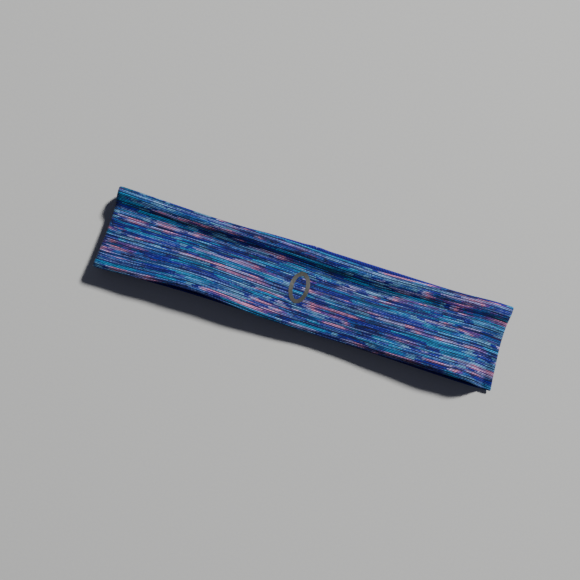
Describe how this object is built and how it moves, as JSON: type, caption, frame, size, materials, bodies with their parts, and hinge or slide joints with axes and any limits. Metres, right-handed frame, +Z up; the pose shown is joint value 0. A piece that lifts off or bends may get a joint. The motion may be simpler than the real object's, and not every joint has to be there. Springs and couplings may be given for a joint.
{
  "type": "headband",
  "caption": "Wide sports headband: a closed double-layer loop of space-dyed stretch knit, lying flat, that opens to go round a head.",
  "frame": {"origin": "centre of the underside, on the surface that the loop lies on", "axes": "+X along the band, +Y across it towards the edge with the raised lip, +Z up through the two halves"},
  "size_m": [0.2416, 0.0509, 0.0147],
  "materials": {
    "outer_knit": "fine space-dyed jersey, matt, with streaks of navy, royal blue, teal, lilac and coral along the band",
    "lining_knit": "fine jersey, matt, plain royal blue",
    "seam_thread": "overlocked allowance with polyester thread",
    "label_satin": "blank white woven satin",
    "mark_film": "thin grey-olive reflective transfer film"
  },
  "bodies": {
    "back": {"outer_left_fold": "outer_knit", "lining_left_fold": "lining_knit", "upper_seam_left_fold": "seam_thread", "lower_seam_left_fold": "seam_thread", "outer_back_panel": "outer_knit", "lining_back_panel": "lining_knit", "upper_seam_back_panel": "seam_thread", "lower_seam_back_panel": "seam_thread", "outer_right_fold": "outer_knit", "lining_right_fold": "lining_knit", "upper_seam_right_fold": "seam_thread", "lower_seam_right_fold": "seam_thread", "closing_seam": "seam_thread"},
    "front": {"outer_front_panel": "outer_knit", "lining_front_panel": "lining_knit", "upper_seam_front_panel": "seam_thread", "lower_seam_front_panel": "seam_thread", "front_mark": "mark_film"},
    "wing_left": {"outer_left_wing": "outer_knit", "lining_left_wing": "lining_knit", "upper_seam_left_wing": "seam_thread", "lower_seam_left_wing": "seam_thread"},
    "wing_right": {"outer_right_wing": "outer_knit", "lining_right_wing": "lining_knit", "upper_seam_right_wing": "seam_thread", "lower_seam_right_wing": "seam_thread"},
    "label": {"care_label": "label_satin"}
  },
  "joints": [
    {"name": "front_lift", "type": "slide", "parent": "back", "child": "front", "axis": [0, 0, 1], "range_m": [0, 0.05]},
    {"name": "wing_left_tilt", "type": "hinge", "parent": "back", "child": "wing_left", "pos_m": [-0.1146, 0, 0.015], "axis": [0, -1, 0], "range_deg": [0, 37]},
    {"name": "wing_right_tilt", "type": "hinge", "parent": "back", "child": "wing_right", "pos_m": [0.1146, 0, 0.0132], "axis": [0, 1, 0], "range_deg": [0, 37]},
    {"name": "label_flip", "type": "hinge", "parent": "back", "child": "label", "pos_m": [0, 0, 0.0024], "axis": [0, -1, 0], "range_deg": [0, 18]}
  ],
  "couplings": [
    {"joint": "wing_left_tilt", "follows": "front_lift", "rad_per_m": 12.8},
    {"joint": "wing_right_tilt", "follows": "front_lift", "rad_per_m": 12.8}
  ]
}
